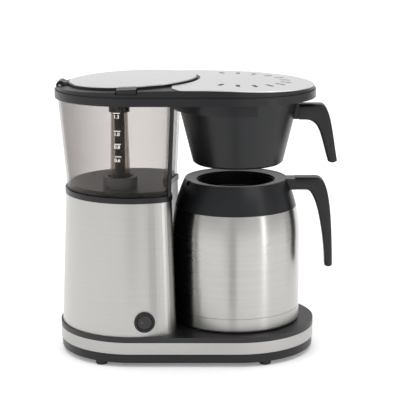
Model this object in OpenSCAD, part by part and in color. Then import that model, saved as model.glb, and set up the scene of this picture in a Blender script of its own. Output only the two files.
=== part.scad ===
// One-touch drip coffee maker with a thermal carafe, millimetres.
// Tower with the water tank on the left, brew bay with carafe and basket on the right.
// X runs from the tank to the carafe, Y to the back, Z up; the origin is under the centre.

/* [Overall] */
// Height of the lid's highest point over the table
total_h = 310; // [300:1:330]
// Radius of the round ends of the head, half the depth of the machine
head_r = 86.5; // [84:0.5:90]
// Distance between the tank axis and the basket axis
lobe_gap = 116; // [112:1:120]
// Overall width with the handles
total_w = 313; // [310:1:320]

/* [Base] */
// Height of the rubber feet
foot_h = 5; // [3:0.5:6]
// Radius of the rubber feet
foot_r = 6.5; // [5:0.5:8]
// Height of the lower edge of the steel band
band_z = 15; // [12:0.5:16]
// Height of the upper edge of the steel band
deck_z = 28; // [26:0.5:29]
// Height of the deck that the carafe stands on
deck_top = 34; // [33:0.5:35]
// Radius of the round ends of the base
base_r = 85.5; // [84:0.5:86.5]

/* [Tower and tank] */
// Tower radius at the deck
tower_r = 83.5; // [82:0.5:84]
// Height of the upper edge of the steel tower shell
tower_top = 181; // [175:1:185]
// Tower radius at its upper edge
tower_top_r = 76.5; // [75:0.5:78]
// Height of the tank floor
tank_floor_z = 192; // [188:1:196]
// Tank radius at its lower edge
tank_r = 74.8; // [73:0.1:76]
// Tank radius at its upper edge
tank_top_r = 83.3; // [81:0.1:84]
// Wall thickness of the tank
tank_wall = 2.8; // [2:0.2:3.5]

/* [Head] */
// Height of the underside of the head
head_z = 287.7; // [286:0.1:290]
// Height of the joint between the lower housing and the cover
seam_z = 296.5; // [295:0.5:298]
// Radius of the cover's round ends
cover_r = 84.6; // [83:0.1:86]
// Lid radius
lid_r = 71.5; // [68:0.5:74]
// Highest opening angle that the lid is drawn free for
lid_open = 100; // [60:5:105]

/* [Basket] */
// Basket radius under its rim
basket_r = 67.4; // [65:0.1:68]
// Basket radius at its floor
basket_floor_r = 50; // [47:0.5:53]
// Height of the underside of the basket
basket_z = 213; // [210:1:216]

/* [Carafe] */
// Carafe body radius
carafe_r = 71.7; // [69:0.1:72.5]
// Height of the carafe's rim
carafe_rim_z = 195.5; // [190:0.5:198]
// Height of the joint between the steel body and the black collar
collar_z = 164.4; // [160:0.2:168]
// Radius of the carafe's mouth
mouth_r = 44; // [38:0.5:46]

/* [Button] */
// Radius of the power button cap
button_r = 8.5; // [7:0.5:9]
// Height of the power button axis
button_z = 50.5; // [48:0.5:54]
// Travel of the power button
button_travel = 2; // [1:0.5:3]

/* [Hidden] */
$fn = 96;

tower_x = -total_w / 2 + head_r;
brew_x = tower_x + lobe_gap;
carafe_x = brew_x - 2.5;
mid_x = (tower_x + brew_x) / 2;
handle_x = total_w / 2;
eps = 0.05;
gap = 0.3;
fit = 0.05;

// Crown of the top: a shallow dome that falls towards the ends and the sides
crown_r = 1500;
crown_top = total_h - 2.3;
sheet = 1;

// Plan of the tower and tank: round on the left, hollowed on the carafe side
hollow_x = 41;
hollow_r = 215;
rear_r = 5;
front_r = 20;
side_y = 56;
post_x = 46.4;
post_y = 70.3;
post_r = 2.2;
ring_h = 6;

// Water level column
column = [-12.5, -40];
cup_r = 18.5;
cup_h = 13;
riser_r = 5.5;
riser_bore = 3.5;

// Water circuit inside the tower
heater_z = 80;
heater_y = 5;
bend_x = -10;
bend_r = 28;
leg_x = -38;
stub_x = -48;
inlet_y = heater_y + bend_r;
outlet_y = heater_y - bend_r;
water_r = 4;
hose_r = 6.5;
valve_z = 132;
valve_h = 28;
valve_r = 9;
ball_r = 4.5;
ball_lift = 3;

// Hinge of the lid
hinge_x = -79.2;
hinge_z = 300.5;
knuckle_r = 4.8;
knuckle_w = 22;
pin_r = 1.6;
pin_len = 34;
ear_w = 5;
tab_x = -12;
tab_w = 21;
lid_seat_z = 300;
tank_mouth_r = 69;
spray_r = 44.5;
plate_x = 46;
plate_r = 14;

// Rails and basket rim
flange_r = 70;
flange_z = 284.6;
flange_h = 2.6;
rail_in = 70.3;
rail_ledge = 68;
rail_out = 73;
rail_z = 275;
rail_end = 21;
grip_w = 22;

// Carafe shoulder: one arc from the straight wall to the rim
shoulder_z = 130;
rim_r = 57;
rise = carafe_rim_z - shoulder_z;
fall = carafe_r - rim_r;
shoulder_r = (rise * rise + fall * fall) / (2 * fall);
base_seam_z = 50.5;

// Button and gland on the tower
button_turn = 10;
button_out = 82.7;
gland_z = 52;
gland_y = 83;
gland_bore = 3.6;

screw_r = 2;
screw_head_r = 3.8;

// ---- helpers ----

function shell_scale(z) = z < tower_top
    ? 1 + (tower_top_r / tower_r - 1) * (z - deck_top) / (tower_top - deck_top)
    : (tank_r + (tank_top_r - tank_r) * (z - tower_top - ring_h) /
        (head_z - tower_top - ring_h)) / tower_r;

function bezier(p, n) = [for (i = [0 : n]) let (t = i / n, u = 1 - t)
    u * u * u * p[0] + 3 * u * u * t * p[1] + 3 * u * t * t * p[2] + t * t * t * p[3]];

function unit(v) = v / norm(v);
function tangent(p, i) = unit(p[min(i + 1, len(p) - 1)] - p[max(i - 1, 0)]);
function arc3(c, r, z, a0, a1, n) =
    [for (i = [0 : n]) let (a = a0 + (a1 - a0) * i / n) [c[0] + r * cos(a), c[1] + r * sin(a), z]];

module at_tower() { translate([tower_x, 0, 0]) children(); }
module at_brew() { translate([brew_x, 0, 0]) children(); }
module at_carafe() { translate([carafe_x, 0, 0]) children(); }

// Two round ends joined by straight sides
module stadium_plan(r) {
    translate([tower_x, 0]) circle(r);
    translate([brew_x, 0]) circle(r);
    translate([tower_x, -r]) square([lobe_gap, 2 * r]);
}

module stadium(r, z0, z1) { translate([0, 0, z0]) linear_extrude(z1 - z0) stadium_plan(r); }

module stadium_ring(r, wall, z0, z1) {
    difference() {
        stadium(r, z0, z1);
        stadium(r - wall, z0 - 1, z1 + 1);
    }
}

module disc(r, z0, z1) { translate([0, 0, z0]) cylinder(r = r, h = z1 - z0); }

module tube(r, bore, z0, z1) {
    difference() {
        disc(r, z0, z1);
        disc(bore, z0 - 1, z1 + 1);
    }
}

// Solid under the domed crown, lowered by drop
module crown(drop) {
    depth = 30;
    translate([mid_x, 0, crown_top - drop - crown_r]) rotate_extrude() intersection() {
        circle(crown_r, $fn = 1440);
        translate([0, crown_r - depth]) square([200, depth + 10]);
    }
}

// Centre and half angles of a rounded corner of radius c between the round back of radius r
// and the hollow of radius h: [x, y, angle on the back, angle on the hollow]
function corner(r, h, c) = let (
    hx = hollow_x + hollow_r,
    x = ((r - c) * (r - c) - (h + c) * (h + c) + hx * hx) / (2 * hx),
    y = sqrt((r - c) * (r - c) - x * x)
) [x, y, atan2(y, x), atan2(y, hx - x)];

function arc2(cx, cy, r, a0, a1, n, first = 0) =
    [for (i = [first : n - first]) let (t = a0 + (a1 - a0) * i / n) [cx + r * cos(t), cy + r * sin(t)]];

// Plan of the tower and tank at full size, tank axis at the origin: a round back, two
// rounded corners and a hollow towards the carafe, all moved inwards by inset
function shell_points(inset) = let (
    r = tower_r - inset,
    h = hollow_r + inset,
    c = max(rear_r - inset, 1.5),
    d = max(front_r - inset, 1.5),
    rear = corner(r, h, c),
    front = corner(r, h, d)
) concat(
    arc2(0, 0, r, rear[2], 360 - front[2], 80),
    arc2(front[0], -front[1], d, -front[2], front[3], 8, 1),
    arc2(hollow_x + hollow_r, 0, h, 180 + front[3], 180 - rear[3], 14),
    arc2(rear[0], rear[1], c, -rear[3], rear[2], 8, 1));

module shell_plan(inset = 0) { polygon(shell_points(inset)); }

// Upright wall that follows the plan, from scale s0 at z0 to scale s1 at z1
module shell_wall(wall, z0, z1, inset = 0) {
    s0 = shell_scale(z0);
    s1 = shell_scale(z1 - 0.01);
    at_tower() translate([0, 0, z0]) difference() {
        linear_extrude(z1 - z0, scale = s1 / s0) scale(s0) shell_plan(inset);
        translate([0, 0, -eps])
            linear_extrude(z1 - z0 + 2 * eps, scale = s1 / s0)
                scale(s0) shell_plan(inset + wall);
    }
}

// Tube swept along points, 10 sides
module pipe(p, r, ref = [0.3, 1, 0.2]) {
    n = 10;
    pts = [for (i = [0 : len(p) - 1]) let (t = tangent(p, i), u = unit(cross(t, ref)), v = cross(t, u))
        for (k = [0 : n - 1]) p[i] + r * (cos(360 * k / n) * u + sin(360 * k / n) * v)];
    last = (len(p) - 1) * n;
    faces = concat(
        [[for (k = [0 : n - 1]) k]],
        [for (i = [0 : len(p) - 2]) for (k = [0 : n - 1])
            [i * n + k, (i + 1) * n + k, (i + 1) * n + (k + 1) % n, i * n + (k + 1) % n]],
        [[for (k = [0 : n - 1]) last + n - 1 - k]]);
    polyhedron(pts, faces, convexity = 6);
}

// Pan-head screw, head down, shank up, origin under the head
module screw(len, r = screw_r, head = screw_head_r) {
    difference() {
        union() {
            cylinder(r = head, h = 2.2);
            translate([0, 0, 2.2]) cylinder(r = r, h = len);
        }
        for (a = [0, 90]) rotate([0, 0, a]) translate([-2.2, -0.4, -1]) cube([4.4, 0.8, 2.2]);
    }
}

// Round end of the corner post at height z
module post_end(z) {
    plan = shell_scale(z);
    translate([tower_x + post_x * plan, -post_y * plan, z]) cylinder(r = post_r, h = 0.1, $fn = 32);
}

foot_places = [for (x = [tower_x - 34, brew_x + 30]) for (y = [-70, 70]) [x, y]];
screw_places = [for (x = [tower_x - 15, brew_x + 12]) for (y = [-62, 62]) [x, y]];
head_screws = [for (a = [-70, 70]) [brew_x + 76 * cos(a), 76 * sin(a)]];

// ---- base ----

module rubber_feet() color("#1c1c1e") {
    for (p = foot_places) translate([p[0], p[1], 0]) {
        cylinder(r1 = foot_r - 0.8, r2 = foot_r, h = 1);
        translate([0, 0, 1]) cylinder(r = foot_r, h = foot_h - 1);
        translate([0, 0, foot_h]) cylinder(r = 4, h = 2.5);
    }
}

module base_pan() color("#202124") {
    difference() {
        union() {
            difference() {
                stadium(base_r - 1, foot_h, deck_z);
                stadium(base_r - 4, foot_h + 2.5, deck_z + 1);
                stadium_ring(base_r + 5, 7.2, band_z, deck_z + 1);
            }
            for (p = screw_places) translate([p[0], p[1], 0]) disc(5, foot_h + 1, deck_z);
        }
        for (p = foot_places) translate([p[0], p[1], 0]) disc(4, foot_h - 1, foot_h + 5);
        for (p = screw_places) translate([p[0], p[1], 0]) {
            disc(screw_r, foot_h - 1, deck_z + 1);
            disc(screw_head_r, foot_h - 1, foot_h + 2.3);
        }
        for (i = [-4 : 4]) translate([mid_x + i * 12, 0, 0])
            translate([-1.5, -25, foot_h - 1]) cube([3, 50, 4]);
    }
}

module base_band() color("#c9c9c7") stadium_ring(base_r, 1.2, band_z, deck_z);

module base_deck() color("#232427") {
    difference() {
        stadium(base_r, deck_z, deck_top);
        difference() {
            stadium(base_r - 2.5, deck_z - 1, deck_top - 3);
            for (p = screw_places) translate([p[0], p[1], 0]) disc(5, deck_z, deck_top);
        }
        for (p = screw_places) translate([p[0], p[1], 0]) disc(screw_r, deck_z - 1, deck_top - 2);
        at_tower() disc(30, deck_z - 1, deck_top + 1);
    }
}

module base_screws() color("#8d8f92") {
    for (p = screw_places) translate([p[0], p[1], foot_h]) screw(24);
}

module cord_gland() color("#1b1b1d") {
    at_tower() translate([0, gland_y, gland_z]) rotate([90, 0, 0]) difference() {
        union() {
            translate([0, 0, -3]) cylinder(r = 9, h = 2.6);
            translate([0, 0, -0.5]) cylinder(r = 6.5, h = 8);
            translate([0, 0, 5.5]) cylinder(r = 8, h = 2);
        }
        translate([0, 0, -4]) cylinder(r = gland_bore, h = 14);
    }
}

// ---- tower ----

// Local +Z points into the tower, square to its surface
module at_button() {
    at_tower() rotate([0, 0, button_turn]) translate([0, -button_out, button_z])
        rotate([-90, 0, 0]) children();
}

module button_hole(r) {
    at_button() translate([0, 0, -10]) cylinder(r = r, h = 25);
}

module gland_hole() {
    at_tower() translate([0, gland_y - 15, gland_z]) rotate([-90, 0, 0]) cylinder(r = 6.7, h = 30);
}

// Box round the flat-looking side of the tower that faces the carafe
module side_zone(play) {
    at_tower() translate([20, play - side_y, deck_top - 1])
        cube([60, 2 * (side_y - play), tower_top - deck_top + 2]);
}

module tower_side_panel() color("#1d1e20") {
    intersection() {
        shell_wall(1.2, deck_top, tower_top);
        side_zone(0.1);
    }
}

module tower_shell() color("#c6c5c1") {
    difference() {
        shell_wall(1.2, deck_top, tower_top);
        side_zone(0);
        button_hole(9.9);
        gland_hole();
    }
}

module tower_chassis() color("#2a2b2e") {
    difference() {
        shell_wall(2.2, deck_top, tower_top, 1.25);
        button_hole(14);
        at_tower() translate([0, gland_y, gland_z]) rotate([90, 0, 0]) cylinder(r = 10, h = 12);
    }
}

// Edge trim up the front corner of the tank, from the ring to the head
module corner_post() color("#17171a") {
    hull() {
        post_end(tower_top + ring_h);
        post_end(head_z - 0.1);
    }
}

module button_bezel() color("#2b2c2e") {
    at_button() difference() {
        union() {
            translate([0, 0, -2.6]) cylinder(r1 = 10.6, r2 = 11.4, h = 0.8);
            translate([0, 0, -1.8]) cylinder(r = 11.4, h = 1.2);
            translate([0, 0, -1]) cylinder(r = 9.8, h = 11);
        }
        translate([0, 0, -3]) cylinder(r = button_r + fit, h = 20);
    }
}

module power_button() color("#2f3033") {
    at_button() difference() {
        union() {
            translate([0, 0, -2]) cylinder(r1 = button_r - 0.7, r2 = button_r, h = 0.7);
            translate([0, 0, -1.3]) cylinder(r = button_r, h = 8.6);
            translate([0, 0, 7]) cylinder(r = 3, h = 5);
        }
        translate([-3, 0, -3]) cylinder(r = 1.5, h = 4);
    }
}

module indicator_lens() color("#8a2a2a") {
    at_button() translate([-3, 0, -1.9]) cylinder(r = 1.5, h = 2.9);
}

module switch_body() color("#3a3b3d") {
    at_button() {
        difference() {
            translate([-10, -9, 10.2]) cube([20, 18, 22]);
            translate([0, 0, 10]) cylinder(r = 3.4, h = 6.5);
        }
        for (x = [-5, 5]) translate([x - 2, -0.4, 32]) cube([4, 0.8, 6]);
    }
}

module terminal_block() color("#d8d6cc") {
    at_tower() translate([0, 48, deck_top]) difference() {
        translate([-20, -8, 0]) cube([40, 16, 14]);
        for (x = [-13, 0, 13]) {
            translate([x, 0, 4]) cylinder(r = 2.4, h = 12);
            translate([x, -10, 5]) rotate([-90, 0, 0]) cylinder(r = 2, h = 20);
        }
    }
}

wire_switch = [[-6, 46, 50], [-5, 30, 66], [2, 0, 62], [4, -20, 58], [4, -42, button_z + 1]];
wire_heater = [[6, 46, 50], [12, 34, 66], [20, 18, 58], [19, 9, 69]];
wire_main = [[3, 72, gland_z], [4, 66, 52], [2, 62, 50], [0, 59, 47]];

module wire_harness() color("#7d5a4a") {
    for (w = [wire_switch, wire_heater, wire_main])
        at_tower() pipe(bezier([w[0], w[1], w[len(w) - 2], w[len(w) - 1]], 12), 1.4);
}

// ---- heater and water circuit ----

heater_path = concat(
    [[stub_x, inlet_y, heater_z + 20]],
    bezier([[stub_x, inlet_y, heater_z + 12], [stub_x, inlet_y, heater_z + 3],
        [stub_x + 2, inlet_y, heater_z], [leg_x, inlet_y, heater_z]], 5),
    arc3([bend_x, heater_y], bend_r, heater_z, 90, -90, 12),
    bezier([[leg_x, outlet_y, heater_z], [stub_x + 2, outlet_y, heater_z],
        [stub_x, outlet_y, heater_z + 3], [stub_x, outlet_y, heater_z + 12]], 5),
    [[stub_x, outlet_y, heater_z + 20]]);

module heater_tube() color("#b9bbbd") at_tower() pipe(heater_path, water_r, [0.05, 0.02, -1]);

// Die-cast aluminium round the tube, with the element channel below
module heater_casting() color("#9b9d9f") {
    at_tower() translate([0, 0, heater_z]) difference() {
        union() {
            translate([bend_x, heater_y, 0]) rotate([0, 0, -90]) rotate_extrude(angle = 180)
                translate([bend_r - 9, -10]) square([18, 18]);
            for (y = [inlet_y, outlet_y])
                translate([leg_x + 8, y - 9, -10]) cube([bend_x - leg_x - 7.9, 18, 18]);
        }
        translate([bend_x, heater_y, 0]) rotate([0, 0, -90]) rotate_extrude(angle = 180)
            translate([bend_r, 0]) circle(water_r + 0.4, $fn = 32);
        for (y = [inlet_y, outlet_y])
            translate([leg_x, y, 0]) rotate([0, 90, 0]) cylinder(r = water_r + 0.4, h = bend_x - leg_x);
    }
}

module heater_bracket() color("#a9abad") {
    at_tower() difference() {
        union() {
            translate([-32, -38, deck_top]) cube([26, 77, 2]);
            for (y = [inlet_y, outlet_y]) translate([-29, y - 6, deck_top]) cube([20, 12, heater_z - 10.1 - deck_top]);
        }
        for (y = [inlet_y, outlet_y]) translate([-27, y - 7, deck_top + 2]) cube([16, 14, heater_z - 14 - deck_top]);
    }
}

module thermostat() color("#caa96a") {
    at_tower() translate([bend_x + bend_r, heater_y, heater_z + 8.1]) {
        cylinder(r = 8, h = 5);
        for (y = [-4, 4]) translate([-1, y - 2.5, 5]) cube([0.8, 5, 6]);
    }
}

module thermal_fuse() color("#e4e1d6") {
    at_tower() translate([-22, inlet_y, heater_z + 12.2]) rotate([0, 90, 0]) {
        cylinder(r = 3.8, h = 20);
        translate([0, 0, -6]) cylinder(r = 0.9, h = 32);
    }
}

// Ball valve in the inlet: steam pressure lifts the ball against the upper seat
module valve_body() color("#e9e9e4") {
    at_tower() translate([stub_x, inlet_y, 0]) difference() {
        union() {
            disc(valve_r, valve_z, valve_z + valve_h - 8);
            disc(water_r, valve_z - 10, valve_z + 1);
            disc(water_r, valve_z + valve_h - 9, valve_z + valve_h + 4);
        }
        disc(ball_r + 1, valve_z + 3, valve_z + valve_h - 11);
        disc(2.5, valve_z - 11, valve_z + 4);
        disc(2.5, valve_z + valve_h - 12, valve_z + valve_h + 5);
    }
}

module valve_ball() color("#d9dadb") {
    at_tower() translate([stub_x, inlet_y, valve_z + 3 + ball_r + 0.3]) sphere(ball_r);
}

module valve_hose() color("#d6d3cb") {
    at_tower() translate([stub_x, inlet_y, 0]) tube(hose_r, water_r, heater_z + 13, valve_z - 1);
}

module inlet_hose() color("#d6d3cb") {
    at_tower() translate([stub_x, inlet_y, 0]) tube(hose_r, water_r, valve_z + valve_h - 6, 178);
}

outlet_path = bezier([[stub_x, outlet_y, heater_z + 20.1], [stub_x, outlet_y, 138],
    [column[0], column[1], 118], [column[0], column[1], 160]], 16);

module outlet_hose() color("#d6d3cb") at_tower() pipe(outlet_path, hose_r, [1, -0.2, 0]);

module hose_clamps() color("#b4b6b8") {
    clamp_places = [[inlet_y, heater_z + 16], [inlet_y, valve_z - 6], [inlet_y, valve_z + valve_h - 2], [inlet_y, 172]];
    for (p = clamp_places) at_tower() translate([stub_x, p[0], p[1]]) {
        difference() {
            union() {
                cylinder(r = hose_r + 1, h = 4);
                translate([hose_r - 0.5, -3, 0]) cube([5, 6, 4]);
            }
            translate([0, 0, -1]) cylinder(r = hose_r, h = 6);
        }
    }
}

// ---- tank ----

module tank_ring() color("#222326") {
    s = shell_scale(tower_top - 0.1);
    at_tower() translate([0, 0, tower_top]) difference() {
        linear_extrude(ring_h) scale(s) shell_plan(-0.9);
        translate([0, 0, -1]) linear_extrude(ring_h + 2) scale(s) shell_plan(4);
    }
}

module tank_floor() color("#4b4c4e") {
    s = shell_scale(tank_floor_z);
    at_tower() difference() {
        union() {
            translate([0, 0, tower_top]) linear_extrude(tank_floor_z - tower_top)
                scale(s) shell_plan(tank_wall + 3);
            translate([column[0], column[1], 0]) disc(cup_r, tank_floor_z - 1, tank_floor_z + cup_h);
            translate([stub_x, inlet_y, 0]) disc(water_r, 170, tower_top + 1);
        }
        translate([0, 0, tower_top - 1]) linear_extrude(tank_floor_z - tower_top - 2)
            scale(s) difference() {
                shell_plan(tank_wall + 5.5);
                translate([column[0], column[1]] / s) circle(10);
                translate([stub_x, inlet_y] / s) circle(8);
            }
        translate([column[0], column[1], 0]) {
            disc(14, tank_floor_z, tank_floor_z + cup_h + 1);
            disc(riser_r, tower_top - 2, tank_floor_z + 2);
        }
        translate([stub_x, inlet_y, 0]) disc(2.5, 169, tank_floor_z + 1);
    }
}

module tank_gasket() color("#3c3c3e") {
    s = shell_scale(tank_floor_z);
    at_tower() translate([0, 0, tower_top + ring_h]) linear_extrude(tank_floor_z - 0.2 - tower_top - ring_h)
        scale(s) difference() {
            shell_plan(tank_wall + 1);
            shell_plan(tank_wall + 3);
        }
}

module tank_shell() color("#b9b1a9", 0.45) shell_wall(tank_wall, tower_top + ring_h, head_z);

module gauge_tube() color("#a9a29b", 0.5) {
    at_tower() translate([column[0], column[1], tank_floor_z]) difference() {
        cylinder(r1 = 11.2, r2 = 9, h = 84);
        translate([0, 0, -1]) cylinder(r1 = 9.8, r2 = 7.6, h = 86);
    }
}

module gauge_cap() color("#3a3a3d") {
    at_tower() translate([column[0], column[1], 0]) tube(11.4, riser_r, tank_floor_z + 84, head_z);
}

module riser_tube() color("#55534f") {
    at_tower() translate([column[0], column[1], 0]) tube(riser_r, riser_bore, 160.2, 291);
}

// ---- head ----

// Floor of the head: open over the tank and the shower head, with an arm to the water column
module housing_floor_plan() {
    difference() {
        stadium_plan(head_r - 1.5);
        difference() {
            translate([tower_x, 0]) circle(tank_mouth_r);
            translate([tower_x + column[0], column[1]]) circle(12);
            translate([tower_x + column[0] - 6, -78]) square([12, 30]);
        }
        translate([brew_x, 0]) circle(spray_r + 0.3);
        translate([tower_x + column[0], column[1]]) circle(riser_r);
    }
}

module housing_lower() color("#25262a") {
    difference() {
        union() {
            translate([0, 0, head_z]) linear_extrude(2.5) housing_floor_plan();
            stadium_ring(head_r, 2.5, head_z, seam_z);
            for (p = head_screws) translate([p[0], p[1], 0]) disc(4.5, head_z + 1, seam_z);
        }
        for (p = head_screws) translate([p[0], p[1], 0]) {
            disc(screw_r, head_z - 1, seam_z + 1);
            disc(screw_head_r, head_z - 1, head_z + 2.3);
        }
    }
}

module housing_cover() color("#26272a") {
    difference() {
        union() {
            difference() {
                intersection() {
                    stadium(cover_r, seam_z, total_h + 5);
                    crown(sheet);
                }
                intersection() {
                    stadium(cover_r - 2.5, seam_z - 1, total_h + 5);
                    crown(sheet + 2.5);
                }
            }
            intersection() {
                at_tower() tube(lid_r + 3, lid_r - 8, seam_z + 1, total_h + 5);
                crown(sheet);
            }
            for (p = head_screws) translate([p[0], p[1], 0]) disc(4, seam_z, seam_z + 5);
            for (y = [-1, 1]) at_tower() translate([hinge_x - 4, y * (knuckle_w / 2 + gap + ear_w / 2) - ear_w / 2, seam_z])
                cube([14, ear_w, 6.2]);
        }
        at_tower() disc(lid_r - 6, seam_z - 2, total_h + 5);
        at_tower() disc(lid_r + 0.6, lid_seat_z, total_h + 5);
        at_tower() translate([-cover_r - 5, -knuckle_w / 2 - gap, seam_z - 1])
            cube([cover_r - lid_r + 12, knuckle_w + 2 * gap, 20]);
        at_tower() translate([tab_x - 1, -cover_r - 5, lid_seat_z]) cube([tab_w + 2, 20, 20]);
        at_tower() translate([hinge_x, 0, hinge_z]) rotate([90, 0, 0])
            cylinder(r = pin_r, h = pin_len, center = true);
        for (p = head_screws) translate([p[0], p[1], 0]) disc(1.9, seam_z - 1, seam_z + 3.1);
    }
}

// Radial vent slot with round ends, cut downwards
module slot(len, w) {
    linear_extrude(20) {
        translate([-len / 2 + w / 2, -w / 2]) square([len - w, w]);
        for (x = [-1, 1]) translate([x * (len - w) / 2, 0]) circle(w / 2, $fn = 32);
    }
}

// Everything left of the steel plate: the lid circle with a margin, and a straight edge
// whose corners are rounded
module plate_limit() {
    x = tower_x + plate_x;
    y = cover_r - 0.6;
    at_tower() disc(lid_r + 3, seam_z, total_h + 8);
    translate([tower_x - 100, -100, seam_z]) cube([100 + plate_x, 200, 30]);
    for (side = [-1, 1]) difference() {
        translate([x - 1, side > 0 ? y - plate_r : -y - 1, seam_z]) cube([plate_r + 1, plate_r + 1, 30]);
        translate([x + plate_r, side * (y - plate_r), 0]) disc(plate_r, seam_z - 1, total_h + 30);
    }
}

module top_plate() color("#cfcfcc") {
    difference() {
        intersection() {
            stadium(cover_r - 0.6, seam_z + 1, total_h + 5);
            crown(0);
        }
        crown(sheet);
        plate_limit();
        for (i = [0 : 11]) at_brew() rotate([0, 0, -110 + 20 * i])
            translate([53, 0, total_h - 15]) slot(13, 4.5);
    }
}

module housing_screws() color("#8d8f92") {
    for (p = head_screws) translate([p[0], p[1], head_z]) screw(9.5, 1.9);
}

pipe_z = 293.8;
spreader_path = bezier([[tower_x + column[0], column[1], pipe_z], [tower_x + 40, -46, pipe_z],
    [brew_x - 70, -6, pipe_z], [brew_x, 0, pipe_z]], 16);

module spreader_pipe() color("#55534f") {
    difference() {
        union() {
            pipe(spreader_path, 3.3, [0, 0.1, 1]);
            translate([tower_x + column[0], column[1], 0]) disc(7.5, 291, 297.2);
            at_brew() disc(5, head_z + 2.4, 297.2);
        }
        translate([tower_x + column[0], column[1], 0]) disc(2, 290, 293);
    }
}

// Bowl with a ring of drip holes over the basket
module shower_head() color("#2c2d30") {
    at_brew() difference() {
        disc(spray_r, head_z + 0.2, head_z + 2.3);
        for (r = [10, 20, 30]) for (i = [0 : r / 2.5]) rotate([0, 0, i * 360 / (r / 2.5 + 1)])
            translate([r, 0, 0]) disc(1.4, head_z - 1, head_z + 4);
    }
}

// Bracket open towards +X, with a ledge under the basket's rim
module u_plan(r) {
    circle(r);
    translate([0, -r]) square([rail_end, 2 * r]);
}

module basket_rails() color("#222326") {
    at_brew() difference() {
        translate([0, 0, rail_z]) linear_extrude(head_z - rail_z) u_plan(rail_out);
        translate([0, 0, flange_z - 0.4]) linear_extrude(10) u_plan(rail_in);
        translate([0, 0, rail_z - 1]) linear_extrude(20) u_plan(rail_ledge);
        translate([rail_end, -100, rail_z - 1]) cube([100, 200, 30]);
    }
}

// ---- lid ----

module hinge_pin() color("#b8babc") {
    at_tower() translate([hinge_x, 0, hinge_z]) rotate([90, 0, 0])
        cylinder(r = pin_r, h = pin_len - 1, center = true);
}

module lid_frame() color("#232427") {
    difference() {
        union() {
            intersection() {
                union() {
                    at_tower() disc(lid_r, lid_seat_z + 0.05, total_h + 5);
                    intersection() {
                        at_tower() translate([tab_x, -cover_r, lid_seat_z + 0.6]) cube([tab_w, 18, 12]);
                        at_tower() disc(cover_r - 0.6, seam_z, total_h + 5);
                    }
                }
                crown(-1.2);
            }
            at_tower() translate([hinge_x, 0, hinge_z]) rotate([90, 0, 0])
                cylinder(r = knuckle_r, h = knuckle_w, center = true);
            at_tower() translate([hinge_x, -knuckle_w / 2, lid_seat_z + 0.05]) cube([12, knuckle_w, 3.6]);
        }
        at_tower() translate([hinge_x, 0, hinge_z]) rotate([90, 0, 0])
            cylinder(r = pin_r + fit, h = knuckle_w + 2, center = true);
        intersection() {
            at_tower() disc(lid_r - 3, lid_seat_z - 1, total_h);
            crown(0.8);
        }
    }
}

module lid_plate() color("#d4d4d2") {
    difference() {
        intersection() {
            at_tower() disc(lid_r - 1.3, seam_z + 5, total_h + 5);
            crown(-2.3);
        }
        crown(-1.2);
    }
}

// ---- basket ----

wall = 2.2;
cone_top = flange_z;
module basket_plan(r0, r1, z0, z1) { polygon([[0, z0], [r0, z0], [r1, z1], [0, z1]]); }

module filter_basket() color("#26272a") {
    slope = (basket_r - basket_floor_r) / (cone_top - basket_z);
    at_brew() difference() {
        union() {
            rotate_extrude() difference() {
                union() {
                    basket_plan(basket_floor_r - 2, basket_floor_r + slope * 2, basket_z, basket_z + 2);
                    basket_plan(basket_floor_r + slope * 2, basket_r, basket_z + 2, cone_top);
                    translate([0, flange_z]) square([flange_r, flange_h]);
                }
                basket_plan(basket_floor_r - wall, basket_r - wall, basket_z + 3, cone_top);
                translate([0, cone_top - eps]) square([basket_r - wall, flange_h + 1]);
            }
            disc(8, basket_z - 4, basket_z + 1);
            translate([60, -grip_w / 2 + 2, 262.5]) cube([8, grip_w - 4, 17]);
        }
        disc(3, basket_z - 5, basket_z + 5);
        intersection() {
            translate([50, -20, 250]) cube([12, 40, 40]);
            rotate_extrude() basket_plan(basket_floor_r - wall, basket_r - wall, basket_z + 3, cone_top);
        }
        for (z = basket_screw_z) translate([50, 0, z]) rotate([0, 90, 0]) cylinder(r = screw_r, h = 30);
    }
}

// Hooked grip in the XZ plane: outer edge from the arm to the tip, inner edge back to the arm
module hook(outer, inner, x0) {
    top = outer[0][1];
    under = inner[3][1];
    a = outer[3];
    b = inner[0];
    tip = (a[0] - b[0]) / 2;
    rotate([90, 0, 0]) linear_extrude(grip_w, center = true) polygon(concat(
        [[x0, under], [x0, top]],
        bezier(outer, 24),
        [for (i = [1 : 9]) [a[0] - tip + tip * cos(18 * i), a[1] - tip * sin(18 * i)]],
        bezier(inner, 24)));
}

basket_screw_z = [266, 275];
carafe_screw_y = [-5.5, 5.5];
carafe_screw_z = 187.2;

module basket_handle() color("#202124") {
    x1 = handle_x;
    difference() {
        hook([[x1 - 19, 279], [x1 - 7.5, 279], [x1 - 5.5, 247], [x1, 215.8]],
            [[x1 - 10.6, 215.8], [x1 - 19, 245], [x1 - 20, 261.5], [x1 - 36, 261.5]], brew_x + 68);
        at_brew() for (z = basket_screw_z) translate([66, 0, z]) rotate([0, 90, 0])
            cylinder(r = 1.75, h = 12);
    }
}

module basket_screws() color("#8d8f92") {
    at_brew() for (z = basket_screw_z) translate([59.8, 0, z]) rotate([0, 90, 0]) screw(14, 1.75);
}

// ---- carafe ----

module shoulder(inset, z0, z1) {
    intersection() {
        union() {
            square([carafe_r - inset, shoulder_z]);
            translate([carafe_r - shoulder_r, shoulder_z]) circle(shoulder_r - inset, $fn = 360);
        }
        translate([0, z0]) square([100, z1 - z0]);
    }
}

module carafe_shell() color("#c9c8c5") {
    at_carafe() rotate_extrude() difference() {
        shoulder(0, base_seam_z, collar_z);
        shoulder(0.9, base_seam_z - 1, collar_z + 1);
    }
}

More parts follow.
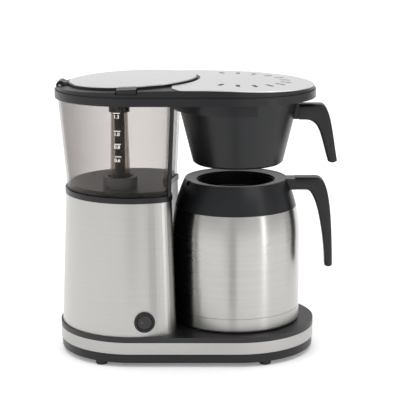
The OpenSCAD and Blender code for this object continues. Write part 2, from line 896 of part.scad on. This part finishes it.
module carafe_base() color("#c4c3c0") {
    at_carafe() rotate_extrude() difference() {
        union() {
            translate([0, deck_top + 3.3]) square([carafe_r, base_seam_z - deck_top - 3.6]);
            translate([0, deck_top + 0.3]) square([carafe_r - 3, 3.1]);
            translate([carafe_r - 3, deck_top + 3.3]) circle(3);
        }
        translate([0, deck_top + 2.4]) square([carafe_r - 1.2, base_seam_z]);
        translate([0, deck_top - 1]) square([60, 2.2]);
    }
}

module vessel(t) {
    square([65.5 - t, 138]);
    intersection() {
        translate([65.5 - 24, 138]) circle(24 - t);
        translate([0, 138 - eps]) square([100, 40]);
    }
    square([42, 162 - t]);
}

// Height where the straight part of the inner vessel ends and its shoulder starts
vessel_z = 138;

module carafe_liner() color("#b9b8b5") {
    at_carafe() difference() {
        disc(65.5, 42, vessel_z);
        disc(64.6, 42.9, vessel_z + 1);
    }
}

module carafe_neck() color("#b9b8b5") {
    at_carafe() rotate_extrude() difference() {
        union() {
            intersection() { vessel(0); translate([0, vessel_z]) square([100, 30]); }
            translate([0, 158]) square([mouth_r + 1.2, 20]);
        }
        intersection() { vessel(0.9); translate([0, vessel_z - 1]) square([100, 30]); }
        translate([0, 150]) square([mouth_r + 0.3, 60]);
    }
}

module carafe_collar() color("#222326") {
    thread_z = 182;
    at_carafe() difference() {
        union() {
            rotate_extrude() difference() {
                shoulder(0, collar_z + 0.2, carafe_rim_z);
                difference() {
                    shoulder(2.4, collar_z - 1, carafe_rim_z - 4);
                    square([mouth_r + 4, 200]);
                }
                square([mouth_r, 300]);
                translate([mouth_r - 10, 0]) square([14 - 0.1, 178.2]);
                polygon([[mouth_r - 1, carafe_rim_z + 1], [rim_r - 2, carafe_rim_z + 1],
                    [rim_r - 2, carafe_rim_z - 0.2], [mouth_r - 1, carafe_rim_z - 1.8]]);
            }
            for (i = [0 : 2]) tube(mouth_r + 0.5, mouth_r - 1.4, thread_z + 4 * i, thread_z + 1.4 + 4 * i);
            translate([rim_r - 1, -grip_w / 2, 183]) cube([10.5, grip_w, 12.3]);
        }
        for (y = carafe_screw_y) translate([rim_r - 4, y, carafe_screw_z]) rotate([0, 90, 0])
            cylinder(r = screw_r, h = 30);
        rotate([0, 0, 205]) translate([rim_r, 0, carafe_rim_z - 2]) cube([5, 6, 6], center = true);
    }
}

module carafe_handle() color("#202124") {
    x1 = handle_x - 3.9;
    difference() {
        hook([[x1 - 20, 196.5], [x1 - 7, 196.5], [x1 - 1.5, 179], [x1, 96]],
            [[x1 - 9, 96], [x1 - 9.5, 125], [x1 - 18, 182.3], [x1 - 30, 182.3]], carafe_x + rim_r + 9.5);
        at_carafe() for (y = carafe_screw_y) translate([rim_r + 7, y, carafe_screw_z]) rotate([0, 90, 0])
            cylinder(r = 1.75, h = 12);
    }
}

module carafe_screws() color("#8d8f92") {
    at_carafe() for (y = carafe_screw_y) translate([rim_r - 3.3, y, carafe_screw_z]) rotate([0, 90, 0])
        screw(16, 1.75, 3);
}

rubber_feet();
base_pan();
base_band();
base_deck();
base_screws();
cord_gland();
tower_shell();
tower_side_panel();
tower_chassis();
corner_post();
button_bezel();
switch_body();
power_button();
indicator_lens();
terminal_block();
wire_harness();
heater_casting();
heater_tube();
heater_bracket();
thermostat();
thermal_fuse();
valve_body();
valve_ball();
inlet_hose();
valve_hose();
outlet_hose();
hose_clamps();
tank_ring();
tank_floor();
tank_gasket();
tank_shell();
gauge_tube();
gauge_cap();
riser_tube();
housing_lower();
housing_cover();
top_plate();
housing_screws();
spreader_pipe();
shower_head();
basket_rails();
hinge_pin();
lid_frame();
lid_plate();
filter_basket();
basket_handle();
basket_screws();
carafe_shell();
carafe_base();
carafe_liner();
carafe_neck();
carafe_collar();
carafe_handle();
carafe_screws();
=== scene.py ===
"""Looks of the drip coffee maker: procedural materials, detailed pieces, light and camera."""
import math

import bpy
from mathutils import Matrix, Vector


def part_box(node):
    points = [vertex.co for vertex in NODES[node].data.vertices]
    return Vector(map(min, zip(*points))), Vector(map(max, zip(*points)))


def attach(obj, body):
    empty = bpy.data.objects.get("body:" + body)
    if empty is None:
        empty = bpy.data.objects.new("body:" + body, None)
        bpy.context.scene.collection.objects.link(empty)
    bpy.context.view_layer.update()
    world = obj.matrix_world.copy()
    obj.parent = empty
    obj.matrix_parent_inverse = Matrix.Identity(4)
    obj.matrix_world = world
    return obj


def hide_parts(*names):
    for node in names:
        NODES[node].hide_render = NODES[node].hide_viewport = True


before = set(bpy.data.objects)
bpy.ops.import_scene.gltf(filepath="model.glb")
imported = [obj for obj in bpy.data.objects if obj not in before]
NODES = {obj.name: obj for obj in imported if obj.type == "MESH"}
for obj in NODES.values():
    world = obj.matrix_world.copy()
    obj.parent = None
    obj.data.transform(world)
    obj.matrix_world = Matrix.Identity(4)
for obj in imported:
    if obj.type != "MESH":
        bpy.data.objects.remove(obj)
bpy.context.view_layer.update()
MM = 0.001


# ---------------------------------------------------------------- materials

COAT_ROUGHNESS = 0.15
IOR = 1.5
BRUSH_TURN = 0.25                  # anisotropic rotation: highlights stretch up and down
SCUFF_SCALE, PATCH_SCALE = 95, 9   # noise of the fine scuffs, and of the patches that hold them
EDGE_BLEND = 0.22                  # how soon clear plastic turns reflective towards its edges


def add(nt, kind, **props):
    node = nt.nodes.new(kind)
    for key, value in props.items():
        setattr(node, key, value)
    return node


def noise(nt, coords, scale, detail=3.0, stretch=(1, 1, 1), rough=0.55):
    m = add(nt, "ShaderNodeMapping")
    m.inputs["Scale"].default_value = stretch
    nt.links.new(coords, m.inputs["Vector"])
    n = add(nt, "ShaderNodeTexNoise")
    n.inputs["Scale"].default_value = scale
    n.inputs["Detail"].default_value = detail
    n.inputs["Roughness"].default_value = rough
    nt.links.new(m.outputs[0], n.inputs["Vector"])
    return n.outputs[0]


def spread(nt, fac, lo, hi, from_lo=0.3, from_hi=0.7):
    """Stretch a noise value, which mostly lies between 0.3 and 0.7, to the range lo to hi."""
    r = add(nt, "ShaderNodeMapRange")
    r.inputs["From Min"].default_value = from_lo
    r.inputs["From Max"].default_value = from_hi
    r.inputs["To Min"].default_value = lo
    r.inputs["To Max"].default_value = hi
    nt.links.new(fac, r.inputs["Value"])
    return r.outputs[0]


def finish_of(name, base, rough, *, metal=0.0, mottle=0.05, slow=14, rough_var=0.05, grain=700,
              grain_stretch=(1, 1, 1), grain_rough=0.03, bump=0.1, bump_dist=0.00012, wear=0.0,
              wear_colour=None, spec=0.5, coat=0.0, clear=None, streak=0.0, brushed=0.0):
    """A procedural finish: mottled colour, uneven roughness, grain or brush lines, scuffs.

    slow and grain are the noise scales of the mottling and of the grain. streak darkens the
    grain lines, brushed is the anisotropy, and clear is the tint of see-through plastic.
    """
    mat = bpy.data.materials.new(name)
    mat.use_nodes = True
    nt = mat.node_tree
    nt.nodes.clear()
    out = add(nt, "ShaderNodeOutputMaterial")
    p = add(nt, "ShaderNodeBsdfPrincipled")
    p.inputs["Metallic"].default_value = metal
    p.inputs["Specular IOR Level"].default_value = spec
    p.inputs["Coat Weight"].default_value = coat
    p.inputs["Coat Roughness"].default_value = COAT_ROUGHNESS
    p.inputs["IOR"].default_value = IOR
    if brushed:
        p.inputs["Anisotropic"].default_value = brushed
        p.inputs["Anisotropic Rotation"].default_value = BRUSH_TURN
        round_z = add(nt, "ShaderNodeTangent", direction_type="RADIAL", axis="Z")
        nt.links.new(round_z.outputs[0], p.inputs["Tangent"])
    co = add(nt, "ShaderNodeTexCoord").outputs["Object"]
    broad = noise(nt, co, slow, 4)
    fine = noise(nt, co, grain, 2, grain_stretch)

    colour = add(nt, "ShaderNodeMix", data_type="RGBA")
    nt.links.new(spread(nt, broad, 0, 1), colour.inputs["Factor"])
    colour.inputs["A"].default_value = [c * (1 - mottle) for c in base] + [1]
    colour.inputs["B"].default_value = [min(1, c * (1 + mottle)) for c in base] + [1]
    tint = colour.outputs["Result"]
    if streak:
        s = add(nt, "ShaderNodeMix", data_type="RGBA", blend_type="MULTIPLY")
        s.inputs["Factor"].default_value = 1.0
        nt.links.new(tint, s.inputs["A"])
        grey = add(nt, "ShaderNodeCombineColor")
        lines = spread(nt, fine, 1 - streak, 1.0)
        for k in range(3):
            nt.links.new(lines, grey.inputs[k])
        nt.links.new(grey.outputs[0], s.inputs["B"])
        tint = s.outputs["Result"]
    if wear:
        scuff = noise(nt, co, SCUFF_SCALE, 6, (1, 1, 1), 0.7)
        patch = noise(nt, co, PATCH_SCALE, 2)
        both = add(nt, "ShaderNodeMath", operation="MULTIPLY")
        nt.links.new(spread(nt, scuff, 0, 1, 0.58, 0.66), both.inputs[0])
        nt.links.new(spread(nt, patch, 0, wear, 0.45, 0.7), both.inputs[1])
        w = add(nt, "ShaderNodeMix", data_type="RGBA")
        nt.links.new(both.outputs[0], w.inputs["Factor"])
        nt.links.new(tint, w.inputs["A"])
        worn = wear_colour or [min(1, c * 2.2 + 0.02) for c in base]
        w.inputs["B"].default_value = list(worn) + [1]
        tint = w.outputs["Result"]
    nt.links.new(tint, p.inputs["Base Color"])

    total = add(nt, "ShaderNodeMath", operation="ADD")
    nt.links.new(spread(nt, broad, rough - rough_var, rough + rough_var), total.inputs[0])
    nt.links.new(spread(nt, fine, -grain_rough, grain_rough), total.inputs[1])
    nt.links.new(total.outputs[0], p.inputs["Roughness"])
    b = add(nt, "ShaderNodeBump")
    b.inputs["Strength"].default_value = bump
    b.inputs["Distance"].default_value = bump_dist
    nt.links.new(fine, b.inputs["Height"])
    nt.links.new(b.outputs[0], p.inputs["Normal"])
    if clear is None:
        nt.links.new(p.outputs[0], out.inputs["Surface"])
        return mat

    see = add(nt, "ShaderNodeBsdfTransparent")
    see.inputs["Color"].default_value = list(clear) + [1]
    edge = add(nt, "ShaderNodeLayerWeight")
    edge.inputs["Blend"].default_value = EDGE_BLEND
    mix = add(nt, "ShaderNodeMixShader")
    nt.links.new(spread(nt, edge.outputs["Facing"], 0.03, 0.75, 0.0, 1.0), mix.inputs[0])
    nt.links.new(see.outputs[0], mix.inputs[1])
    nt.links.new(p.outputs[0], mix.inputs[2])
    nt.links.new(mix.outputs[0], out.inputs["Surface"])
    return mat


STEEL = (0.51, 0.502, 0.482)
DARK_STEEL = (0.46, 0.452, 0.434)
LEVEL_LINES = (0.02, 0.02, 1)      # grain stretched into level lines round an upright wall
LONG_LINES = (0.03, 1, 1)          # grain stretched along the width of a flat plate
LOOKS = {
    "steel_round": dict(
        base=STEEL, rough=0.34, metal=1, mottle=0.02, slow=10, rough_var=0.03, grain=420,
        grain_stretch=LEVEL_LINES, grain_rough=0.03, bump=0.02, bump_dist=0.00003,
        streak=0.05, brushed=0.5),
    "steel_carafe": dict(
        base=STEEL, rough=0.3, metal=1, mottle=0.02, slow=10, rough_var=0.03, grain=420,
        grain_stretch=LEVEL_LINES, grain_rough=0.02, bump=0.004, bump_dist=0.00002,
        streak=0.06, brushed=0.75),
    # painted highlight: the lid and top plate steel gets a much lighter colour than the other
    # steel, standing in for the brighter light their upward faces reflect
    "steel_flat_painted_bright": dict(
        base=(0.80, 0.80, 0.80), rough=0.32, metal=1, mottle=0.015, slow=9, rough_var=0.03,
        grain=420, grain_stretch=LONG_LINES, grain_rough=0.05, bump=0.1, bump_dist=0.00006,
        streak=0.04),
    "steel_band": dict(
        base=DARK_STEEL, rough=0.32, metal=1, mottle=0.02, slow=12, rough_var=0.03, grain=420,
        grain_stretch=LEVEL_LINES, grain_rough=0.05, bump=0.12, bump_dist=0.00006,
        streak=0.06),
    "zinc": dict(
        base=(0.62, 0.63, 0.66), rough=0.35, metal=1, mottle=0.08, slow=60, rough_var=0.08,
        grain=900, wear=0.3),
    "cast": dict(
        base=(0.60, 0.61, 0.62), rough=0.5, metal=1, mottle=0.1, slow=50, rough_var=0.08,
        grain=500, bump=0.5, bump_dist=0.0003),
    "black": dict(
        base=(0.007, 0.0075, 0.009), rough=0.34, mottle=0.12, slow=20, rough_var=0.05,
        grain=1400, bump=0.25, bump_dist=0.00006, wear=0.12, wear_colour=(0.04, 0.04, 0.045),
        spec=0.36),
    "black_gloss": dict(
        base=(0.006, 0.0065, 0.007), rough=0.2, mottle=0.1, slow=20, rough_var=0.04,
        grain=1200, bump=0.1, bump_dist=0.00004),
    "black_deck": dict(
        base=(0.008, 0.0085, 0.009), rough=0.42, mottle=0.12, slow=25, rough_var=0.06,
        grain=1100, bump=0.35, bump_dist=0.00008, wear=0.15, wear_colour=(0.05, 0.05, 0.052)),
    "floor_grey": dict(
        base=(0.075, 0.077, 0.073), rough=0.4, mottle=0.12, slow=30, rough_var=0.05,
        grain=900),
    "white": dict(
        base=(0.82, 0.80, 0.76), rough=0.45, mottle=0.04, slow=30, rough_var=0.05, grain=900),
    "brass": dict(
        base=(0.70, 0.55, 0.32), rough=0.4, metal=1, mottle=0.1, slow=60, rough_var=0.08,
        grain=900, wear=0.3),
    "lens": dict(
        base=(0.05, 0.012, 0.011), rough=0.25, mottle=0.1, slow=200, rough_var=0.04,
        grain=900, coat=0.4),
    "sleeve": dict(
        base=(0.35, 0.22, 0.16), rough=0.75, mottle=0.2, slow=300, rough_var=0.05,
        grain=1800, bump=0.8, bump_dist=0.0003),
    "silicone": dict(
        base=(0.50, 0.48, 0.45), rough=0.55, mottle=0.08, slow=40, rough_var=0.06, grain=900),
    "rubber": dict(
        base=(0.012, 0.012, 0.013), rough=0.7, mottle=0.2, slow=60, rough_var=0.08,
        grain=1300, bump=0.5),
    "smoke": dict(
        base=(0.16, 0.145, 0.135), rough=0.06, mottle=0.06, slow=12, rough_var=0.02,
        grain=500, bump=0.02, clear=(0.88, 0.866, 0.86)),
    "smoke_thin": dict(
        base=(0.2, 0.19, 0.18), rough=0.08, mottle=0.06, slow=12, rough_var=0.02,
        grain=500, bump=0.02, clear=(0.86, 0.83, 0.80)),
    "ink": dict(
        base=(0.95, 0.95, 0.93), rough=0.5, mottle=0.04, slow=60, rough_var=0.04, grain=900),
}
M = {name: finish_of(name, **look) for name, look in LOOKS.items()}

NODE_FINISH = {
    "rubber_feet": "rubber", "base_pan": "black", "base_band": "steel_band",
    "base_deck": "black_deck", "base_screws": "zinc", "cord_gland": "rubber",
    "tower_shell": "steel_round", "tower_side_panel": "black_gloss",
    "tower_chassis": "black", "corner_post": "black",
    "button_bezel": "black", "switch_body": "black", "power_button": "black_gloss",
    "indicator_lens": "lens", "terminal_block": "white", "wire_harness": "sleeve",
    "heater_casting": "cast", "heater_tube": "cast", "heater_bracket": "zinc",
    "thermostat": "brass", "thermal_fuse": "white", "valve_body": "white",
    "valve_ball": "zinc", "inlet_hose": "silicone", "valve_hose": "silicone",
    "outlet_hose": "silicone", "hose_clamps": "zinc", "tank_ring": "black",
    "tank_floor": "floor_grey", "tank_gasket": "rubber", "tank_shell": "smoke",
    "gauge_tube": "smoke_thin", "gauge_cap": "black", "riser_tube": "black",
    "housing_lower": "black", "housing_cover": "black", "top_plate": "steel_flat_painted_bright",
    "housing_screws": "zinc", "spreader_pipe": "silicone", "shower_head": "black",
    "basket_rails": "black", "hinge_pin": "zinc", "lid_frame": "black",
    "lid_plate": "steel_flat_painted_bright", "filter_basket": "black", "basket_handle": "black",
    "basket_screws": "zinc", "carafe_shell": "steel_carafe", "carafe_base": "steel_carafe",
    "carafe_liner": "steel_band", "carafe_neck": "steel_band", "carafe_collar": "black",
    "carafe_handle": "black", "carafe_screws": "zinc",
}
for node, key in NODE_FINISH.items():
    mesh = NODES[node].data
    mesh.materials.clear()
    mesh.materials.append(M[key])

# widths in millimetres
BEVELS = {"base_pan": 0.8, "base_band": 0.3, "base_deck": 1.2, "tank_ring": 0.8,
          "housing_lower": 1.2, "lid_frame": 0.4, "lid_plate": 0.35, "top_plate": 0.3,
          "basket_rails": 0.5, "filter_basket": 0.4, "button_bezel": 0.4, "power_button": 0.4,
          "corner_post": 0.4, "tank_floor": 0.5}
BEVEL_SEGMENTS, BEVEL_ANGLE = 3, 40
for node, width in BEVELS.items():
    mod = NODES[node].modifiers.new("soft_edges", "BEVEL")
    mod.width = width * MM
    mod.segments = BEVEL_SEGMENTS
    mod.limit_method = "ANGLE"
    mod.angle_limit = math.radians(BEVEL_ANGLE)
    mod.harden_normals = True


# ---------------------------------------------------------------- pieces
# lengths in millimetres, in the shared frame

def piece(name, verts, faces, finish, body, replaces=(), smooth=35):
    """A mesh that rides a body. Edges sharper than smooth degrees stay sharp."""
    mesh = bpy.data.meshes.new(name)
    mesh.from_pydata([Vector(v) * MM for v in verts], [], faces)
    mesh.validate()
    mesh.materials.append(M[finish])
    obj = bpy.data.objects.new(name, mesh)
    bpy.context.scene.collection.objects.link(obj)
    mesh.shade_smooth()
    mesh.set_sharp_from_angle(angle=math.radians(smooth))
    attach(obj, body)
    if replaces:
        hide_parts(*replaces)


def bezier(p, n):
    """n + 1 points of the cubic curve with the four control points p."""
    out = []
    for i in range(n + 1):
        t = i / n
        u = 1 - t
        w = (u * u * u, 3 * u * u * t, 3 * u * t * t, t * t * t)
        out.append(tuple(sum(w[k] * p[k][a] for k in range(4)) for a in range(2)))
    return out


def rounded_section(w, h, r, n):
    """Outline of a rounded rectangle, w across and h high, counter-clockwise."""
    pts = []
    for cx, cy, a0 in ((w / 2 - r, h / 2 - r, 0), (r - w / 2, h / 2 - r, 90),
                       (r - w / 2, r - h / 2, 180), (w / 2 - r, r - h / 2, 270)):
        for i in range(n + 1):
            a = math.radians(a0 + 90 * i / n)
            pts.append((cx + r * math.cos(a), cy + r * math.sin(a)))
    return pts


GRIP_WIDTH, GRIP_CORNER, CORNER_STEPS = 22, 4.2, 5
GRIP_SMOOTH = 50
ARM_STEPS, CURVE_STEPS, CAP_STEPS = 6, 40, 8
CAP_DEPTH = 0.4                    # depth of the rounded tip, as a share of half the thickness
CAP_NARROWING = 0.12               # share of its width that the grip loses over the tip
THINNEST, FLAT_TIP = 0.4, 0.5      # least thickness; up to the second, the last ring sets the tilt


def grip(name, outer, inner, start_x, width, body, node):
    """A moulded grip: rounded section swept between an outer and an inner edge line.

    outer runs down the outer edge and inner back up the inner one. A straight arm joins
    both to start_x, and the tip is rounded off.
    """
    top = [(start_x + (outer[0][0] - start_x) * i / ARM_STEPS, outer[0][1])
           for i in range(ARM_STEPS)]
    low = [(start_x + (inner[3][0] - start_x) * i / ARM_STEPS, inner[3][1])
           for i in range(ARM_STEPS)]
    out = top + bezier(outer, CURVE_STEPS)
    inn = low + bezier(list(reversed(inner)), CURVE_STEPS)
    # each ring: middle, half thickness as a vector, share of the width
    rings = []
    for (ox, oz), (ix, iz) in zip(out, inn):
        rings.append((((ox + ix) / 2, (oz + iz) / 2), ((ox - ix) / 2, (oz - iz) / 2), 1.0))
    (cx, cz), (hx, hz), _ = rings[-1]
    size = math.hypot(hx, hz)
    ux, uz = hz / size, -hx / size
    if uz > 0:
        ux, uz = -ux, -uz
    for i in range(1, CAP_STEPS + 1):
        a = math.radians(90 * i / CAP_STEPS)
        rings.append(((cx + ux * size * CAP_DEPTH * math.sin(a),
                       cz + uz * size * CAP_DEPTH * math.sin(a)),
                      (hx * math.cos(a), hz * math.cos(a)),
                      1 - CAP_NARROWING * (1 - math.cos(a))))
    verts, faces = [], []
    count = 4 * (CORNER_STEPS + 1)
    for (mx, mz), (dx, dz), k in rings:
        thick = max(2 * math.hypot(dx, dz), THINNEST)
        r = min(GRIP_CORNER, thick / 2 - 0.05)
        if thick > FLAT_TIP:
            nx, nz = dx / (thick / 2), dz / (thick / 2)
        else:
            nx, nz = hx / size, hz / size
        for sy, sn in rounded_section(width * k, thick, r, CORNER_STEPS):
            verts.append((mx + nx * sn, sy, mz + nz * sn))
    for i in range(len(rings) - 1):
        for j in range(count):
            a, b = i * count + j, i * count + (j + 1) % count
            faces.append((a, b, b + count, a + count))
    faces.append(tuple(range(count - 1, -1, -1)))
    last = (len(rings) - 1) * count
    faces.append(tuple(last + j for j in range(count)))
    piece(name, verts, faces, "black", body, (node,), GRIP_SMOOTH)


lo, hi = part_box("basket_handle")
X1 = hi.x / MM
grip("basket_grip", [(X1 - 19, 279), (X1 - 7.5, 279), (X1 - 5.5, 247), (X1, 215.8)],
     [(X1 - 10.6, 215.8), (X1 - 19, 245), (X1 - 20, 261.5), (X1 - 36, 261.5)],
     lo.x / MM, GRIP_WIDTH, "basket", "basket_handle")
lo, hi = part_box("carafe_handle")
X1 = hi.x / MM
grip("carafe_grip", [(X1 - 20, 196.5), (X1 - 7, 196.5), (X1 - 1.5, 179), (X1, 96)],
     [(X1 - 9, 96), (X1 - 9.5, 125), (X1 - 18, 182.3), (X1 - 30, 182.3)],
     lo.x / MM, GRIP_WIDTH, "carafe", "carafe_handle")

# level scale: ticks and numbers printed on the front of the tank, which widens upwards
lo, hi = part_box("tank_shell")
TANK_LOW, TANK_HIGH = lo.z / MM, hi.z / MM
TANK_R_LOW, TANK_R_HIGH = 74.8, 83.3
TANK_X = lo.x / MM + TANK_R_HIGH


def tank_radius(z):
    return TANK_R_LOW + (TANK_R_HIGH - TANK_R_LOW) * (z - TANK_LOW) / (TANK_HIGH - TANK_LOW)


LEAN = math.atan2(TANK_R_HIGH - TANK_R_LOW, TANK_HIGH - TANK_LOW)
TICK_START, TICK_STEP, TICK_STEPS = -10.9, 0.85, 6   # degrees round the tank from its front
TICK_HALF, TICK_LIFT = 0.36, 0.12
for i, z in enumerate((280.4, 261.0, 246.7, 233.0)):
    verts, faces = [], []
    for k in range(TICK_STEPS + 1):
        a = math.radians(-90 + TICK_START + TICK_STEP * k)
        for dz in (-TICK_HALF, TICK_HALF):
            r = tank_radius(z + dz) + TICK_LIFT
            verts.append((TANK_X + r * math.cos(a), r * math.sin(a), z + dz))
    for k in range(TICK_STEPS):
        faces.append((2 * k, 2 * k + 2, 2 * k + 3, 2 * k + 1))
    piece("scale_tick_%d" % i, verts, faces, "ink", "machine")

LABEL_X, LABEL_SIZE, LABEL_LIFT = -12.3, 5.2, 0.3
LABEL_DEPTH, LABEL_WEIGHT = 0.04, 0.06
for text, z in (("1.3", 276.5), ("1.0", 257.5), ("0.8", 243.5), ("0.6", 228.9)):
    curve = bpy.data.curves.new("scale_" + text.replace(".", "_"), "FONT")
    curve.body = text
    curve.size = LABEL_SIZE * MM
    curve.extrude = LABEL_DEPTH * MM
    curve.offset = LABEL_WEIGHT * MM
    curve.align_x = "CENTER"
    curve.align_y = "CENTER"
    label = bpy.data.objects.new("scale_" + text.replace(".", "_"), curve)
    bpy.context.scene.collection.objects.link(label)
    r = tank_radius(z) + LABEL_LIFT
    turn = math.asin(LABEL_X / r)
    label.rotation_euler = (math.radians(90) + LEAN, 0, turn)
    label.location = ((TANK_X + LABEL_X) * MM, -r * math.cos(turn) * MM, z * MM)
    curve.materials.append(M["ink"])
    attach(label, "machine")


# ---------------------------------------------------------------- stage, light, camera
# lengths in metres, angles in degrees

def stage_plane(name, size, location, rotation, mat, camera=True, shadow=True):
    mesh = bpy.data.meshes.new(name)
    sx, sy = size[0] / 2, size[1] / 2
    mesh.from_pydata([(-sx, -sy, 0), (sx, -sy, 0), (sx, sy, 0), (-sx, sy, 0)], [],
                     [(0, 1, 2, 3)])
    obj = bpy.data.objects.new(name, mesh)
    bpy.context.scene.collection.objects.link(obj)
    obj.location = location
    obj.rotation_euler = [math.radians(a) for a in rotation]
    mesh.materials.append(mat)
    obj.visible_camera = camera
    obj.visible_shadow = shadow
    obj.visible_diffuse = shadow or camera
    return obj


FLOOR_SIZE, FLOOR_SHIFT, FLOOR_GLOW = 60, 3, 0.2
floor_mat = finish_of("pale_floor", (0.93, 0.93, 0.93), 0.6, mottle=0.01, slow=3,
                      rough_var=0.03, grain=60, bump=0.02)
floor_inputs = floor_mat.node_tree.nodes["Principled BSDF"].inputs
floor_inputs["Emission Color"].default_value = (1, 1, 1, 1)
floor_inputs["Emission Strength"].default_value = FLOOR_GLOW
stage_plane("floor", (FLOOR_SIZE, FLOOR_SIZE), (0, FLOOR_SHIFT, 0), (0, 0, 0), floor_mat)

CARD_NOISE, CARD_UNEVEN = 1.5, 0.03


def card(name, azimuth, width, low, high, glow, distance):
    """An upright glowing card that only mirror-like surfaces see, round the machine's middle."""
    mat = bpy.data.materials.new(name)
    mat.use_nodes = True
    nt = mat.node_tree
    nt.nodes.clear()
    out = add(nt, "ShaderNodeOutputMaterial")
    light = add(nt, "ShaderNodeEmission")
    co = add(nt, "ShaderNodeTexCoord").outputs["Object"]
    glow_range = glow * (1 - CARD_UNEVEN), glow * (1 + CARD_UNEVEN)
    nt.links.new(spread(nt, noise(nt, co, CARD_NOISE, 1), *glow_range),
                 light.inputs["Strength"])
    nt.links.new(light.outputs[0], out.inputs["Surface"])
    a = math.radians(azimuth)
    where = (distance * math.sin(a), -distance * math.cos(a), (low + high) / 2)
    obj = stage_plane(name, (width, high - low), where, (90, 0, azimuth), mat, False, False)
    obj.visible_diffuse = False
    obj.visible_transmission = False
    obj.visible_volume_scatter = False


#    name, azimuth, width, low, high, glow, distance
card("card_right", 52, 0.045, 0.0, 0.7, 3.6, 0.55)
card("card_far_right", 112, 0.3, 0.0, 0.7, 0.62, 0.55)
card("card_front", 8, 0.04, 0.0, 0.5, 0.66, 0.2)
card("card_middle", -8, 0.16, 0.0, 0.7, 0.82, 0.55)
card("card_high", 42, 0.75, 0.75, 1.5, 2.4, 1.1)
card("card_back", 180, 6.0, 0.02, 2.6, 0.92, 3.0)


def softbox(name, location, target, size, power):
    """A rectangular lamp that lights the machine but doesn't show in its steel."""
    data = bpy.data.lights.new(name, "AREA")
    data.shape = "RECTANGLE"
    data.size, data.size_y = size
    data.energy = power
    obj = bpy.data.objects.new(name, data)
    bpy.context.scene.collection.objects.link(obj)
    obj.location = location
    obj.rotation_euler = (Vector(target) - Vector(location)).to_track_quat("-Z", "Y").to_euler()
    obj.visible_glossy = False


LIT_POINT = (0, 0, 0.15)
softbox("key_left", (-1.6, -1.5, 1.3), LIT_POINT, (1.0, 1.3), 10)
softbox("fill_right", (1.5, -1.7, 0.9), LIT_POINT, (0.7, 1.2), 6)

SUN_STRENGTH, SUN_SPREAD = 1.75, 60
sun = bpy.data.lights.new("overhead", "SUN")
sun.energy = SUN_STRENGTH
sun.angle = math.radians(SUN_SPREAD)
overhead = bpy.data.objects.new("overhead", sun)
bpy.context.scene.collection.objects.link(overhead)
overhead.location = (0, 0, 2)
overhead.visible_glossy = False

WORLD_STRENGTH = 0.58
world = bpy.data.worlds.new("studio")
bpy.context.scene.world = world
world.use_nodes = True
background = world.node_tree.nodes["Background"].inputs
background["Color"].default_value = (1, 1, 1, 1)
background["Strength"].default_value = WORLD_STRENGTH

CAMERA_DOWN = 12.37
cam_data = bpy.data.cameras.new("camera")
cam_data.sensor_width = 36
cam_data.lens = 129.5
cam_data.shift_x = -0.095
cam = bpy.data.objects.new("camera", cam_data)
bpy.context.scene.collection.objects.link(cam)
cam.location = (0.0461, -1.5825, 0.516)
cam.rotation_euler = (math.radians(90 - CAMERA_DOWN), 0, 0)
bpy.context.scene.camera = cam
bpy.context.scene.view_settings.view_transform = "Standard"
